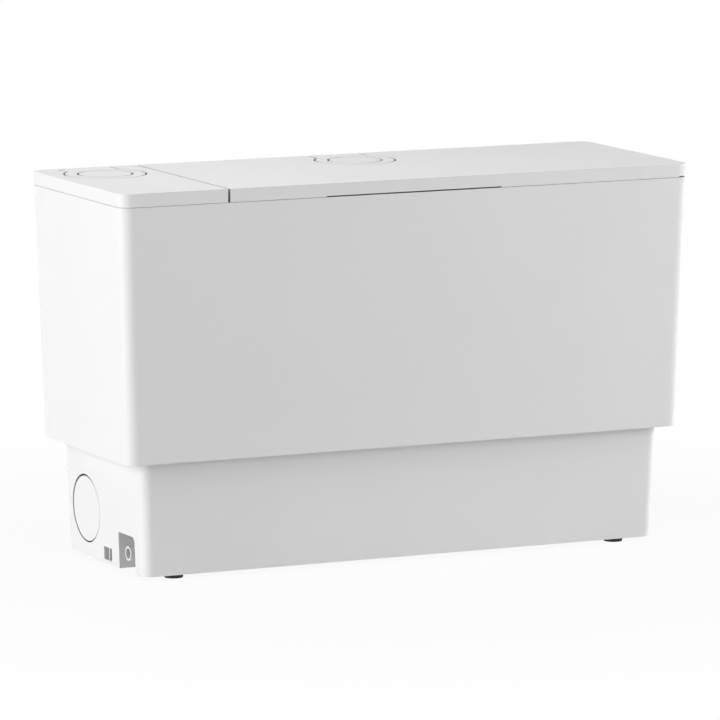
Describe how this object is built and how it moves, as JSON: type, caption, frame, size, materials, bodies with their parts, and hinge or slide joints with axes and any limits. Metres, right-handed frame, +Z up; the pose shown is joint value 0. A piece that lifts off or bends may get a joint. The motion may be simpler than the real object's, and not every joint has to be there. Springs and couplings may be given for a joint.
{
  "type": "sewage lifting unit",
  "caption": "Compact floor-standing sewage lifting unit: stepped white casing with split lid, knock-out discs, side inlets, cutter pump, check valve and vent filter.",
  "frame": {"origin": "middle of the footprint, on the floor", "axes": "+X to the right seen from the front, +Y to the wall, +Z up"},
  "size_m": [0.5, 0.183, 0.3087],
  "materials": {
    "white_plastic": "satin",
    "grey_plastic": "moulded",
    "black_rubber": "matt",
    "cast_aluminium": "as cast",
    "steel": "machined",
    "copper": "enamelled wire",
    "seal_ceramic": "lapped",
    "carbon": "granular",
    "board_green": "solder mask",
    "capacitor_shell": "smooth"
  },
  "bodies": {
    "casing": {"bearing_shield": "cast_aluminium", "cable_grommet": "black_rubber", "carbon_filter": "carbon", "check_valve_body": "grey_plastic", "check_valve_pin": "steel", "circuit_board": "board_green", "control_box": "grey_plastic", "control_box_lid": "grey_plastic", "cover_gasket": "black_rubber", "cover_screws": "steel", "cutter_ring": "steel", "discharge_hose": "black_rubber", "discharge_riser": "grey_plastic", "dn40_sleeves": "black_rubber", "filter_cap": "grey_plastic", "flap_pins": "steel", "hose_clamps": "steel", "motor_bearings": "steel", "motor_cap": "cast_aluminium", "motor_housing": "steel", "motor_lead": "black_rubber", "pressure_dome": "grey_plastic", "pressure_hose": "black_rubber", "pressure_switch": "grey_plastic", "pump_casing": "grey_plastic", "pump_screws": "steel", "rubber_feet": "black_rubber", "run_capacitor": "capacitor_shell", "seal_housing": "cast_aluminium", "service_cover": "grey_plastic", "shaft_seal": "seal_ceramic", "stator_core": "steel", "stator_windings": "copper", "suction_plate": "grey_plastic", "tank": "white_plastic", "valve_bonnet": "grey_plastic", "vent_filter_housing": "grey_plastic", "wc_inlet_sleeve": "black_rubber"},
    "main_lid": {"main_lid": "white_plastic"},
    "main_insert": {"keyhole_insert_main": "white_plastic"},
    "main_disc": {"knockout_disc_main": "white_plastic"},
    "small_lid": {"small_lid": "white_plastic"},
    "small_insert": {"keyhole_insert_small": "white_plastic"},
    "small_disc": {"knockout_disc_small": "white_plastic"},
    "left_cap": {"side_inlet_cap_left": "white_plastic"},
    "right_cap": {"side_inlet_cap_right": "white_plastic"},
    "left_flap": {"side_inlet_flap_left": "black_rubber"},
    "right_flap": {"side_inlet_flap_right": "black_rubber"},
    "check_flap": {"check_valve_flap": "black_rubber"},
    "rotor": {"motor_shaft": "steel", "rotor_core": "steel", "impeller": "grey_plastic", "cutter_blade": "steel", "cutter_nut": "steel"}
  },
  "joints": [
    {"name": "main_lid_lift", "type": "slide", "parent": "casing", "child": "main_lid", "axis": [0, 0, 1], "range_m": [0, 0.05]},
    {"name": "main_insert_lift", "type": "slide", "parent": "main_lid", "child": "main_insert", "axis": [0, 0, 1], "range_m": [0, 0.02]},
    {"name": "main_disc_lift", "type": "slide", "parent": "main_insert", "child": "main_disc", "axis": [0, 0, 1], "range_m": [0, 0.015]},
    {"name": "small_lid_lift", "type": "slide", "parent": "casing", "child": "small_lid", "axis": [0, 0, 1], "range_m": [0, 0.05]},
    {"name": "small_insert_lift", "type": "slide", "parent": "small_lid", "child": "small_insert", "axis": [0, 0, 1], "range_m": [0, 0.02]},
    {"name": "small_disc_lift", "type": "slide", "parent": "small_insert", "child": "small_disc", "axis": [0, 0, 1], "range_m": [0, 0.015]},
    {"name": "left_cap_pull", "type": "slide", "parent": "casing", "child": "left_cap", "axis": [-1, 0, 0], "range_m": [0, 0.035]},
    {"name": "right_cap_pull", "type": "slide", "parent": "casing", "child": "right_cap", "axis": [1, 0, 0], "range_m": [0, 0.035]},
    {"name": "left_flap_swing", "type": "hinge", "parent": "casing", "child": "left_flap", "pos_m": [-0.20153, 0.0355, 0.0676], "axis": [0, -1, 0], "range_deg": [0, 35]},
    {"name": "right_flap_swing", "type": "hinge", "parent": "casing", "child": "right_flap", "pos_m": [0.20153, 0.0355, 0.0676], "axis": [0, 1, 0], "range_deg": [0, 35]},
    {"name": "check_flap_swing", "type": "hinge", "parent": "casing", "child": "check_flap", "pos_m": [-0.221, 0.0455, 0.2128], "axis": [0, -1, 0], "range_deg": [0, 65]},
    {"name": "rotor_spin", "type": "hinge", "parent": "casing", "child": "rotor", "pos_m": [-0.085, -0.0015, 0.15], "axis": [0, 0, 1], "continuous": true}
  ]
}
